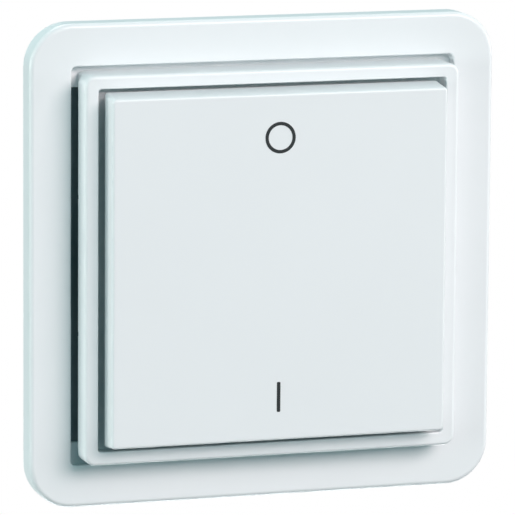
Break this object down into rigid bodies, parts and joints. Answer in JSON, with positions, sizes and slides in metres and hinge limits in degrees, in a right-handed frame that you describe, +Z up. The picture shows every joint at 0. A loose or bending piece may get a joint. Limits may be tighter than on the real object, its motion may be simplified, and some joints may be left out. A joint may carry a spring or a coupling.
{
  "type": "wireless remote wall switch",
  "caption": "Square white wall-mounted wireless switch with a rounded cover frame, a raised centre frame and a full-face tilting rocker over a coin-cell radio transmitter.",
  "frame": {"origin": "middle of the wall plate's back, on the wall plane", "axes": "+Z up the wall, +X to the right seen from the room, +Y into the wall, so the rocker faces -Y"},
  "size_m": [0.081, 0.0132, 0.081],
  "materials": {
    "frame_white": "satin gloss",
    "centre_white": "satin gloss",
    "rocker_white": "satin gloss",
    "plate_grey": "fine matt",
    "module_grey": "fine matt",
    "board_green": "solder resist",
    "silicone": "matt silicone",
    "cell_steel": "fine brushed",
    "holder_black": "matt",
    "spring_steel": "bright",
    "chip_black": "matt",
    "crystal_steel": "satin",
    "coil_ferrite": "matt",
    "capacitor_tan": "matt",
    "antenna_brass": "drawn wire",
    "screw_steel": "zinc plated"
  },
  "bodies": {
    "base": {"outer_frame": "frame_white", "wall_plate": "plate_grey", "centre_frame": "centre_white", "module_tray": "module_grey", "module_cover": "module_grey", "circuit_board": "board_green", "contact_mat": "silicone", "coin_cell": "cell_steel", "cell_holder": "holder_black", "positive_clip": "spring_steel", "negative_contact": "spring_steel", "radio_chip": "chip_black", "crystal": "crystal_steel", "coding_chip": "chip_black", "matching_coil": "coil_ferrite", "capacitors": "capacitor_tan", "resistors": "chip_black", "antenna": "antenna_brass", "housing_screws": "screw_steel"},
    "rocker": {"rocker": "rocker_white"}
  },
  "joints": [
    {"name": "rocker_tilt", "type": "hinge", "parent": "base", "child": "rocker", "pos_m": [0, -0.0065, 0], "axis": [1, 0, 0], "range_deg": [-3.3, 3.3], "stiffness_Nm_per_rad": 1.2, "deforming": ["contact_mat"]}
  ]
}
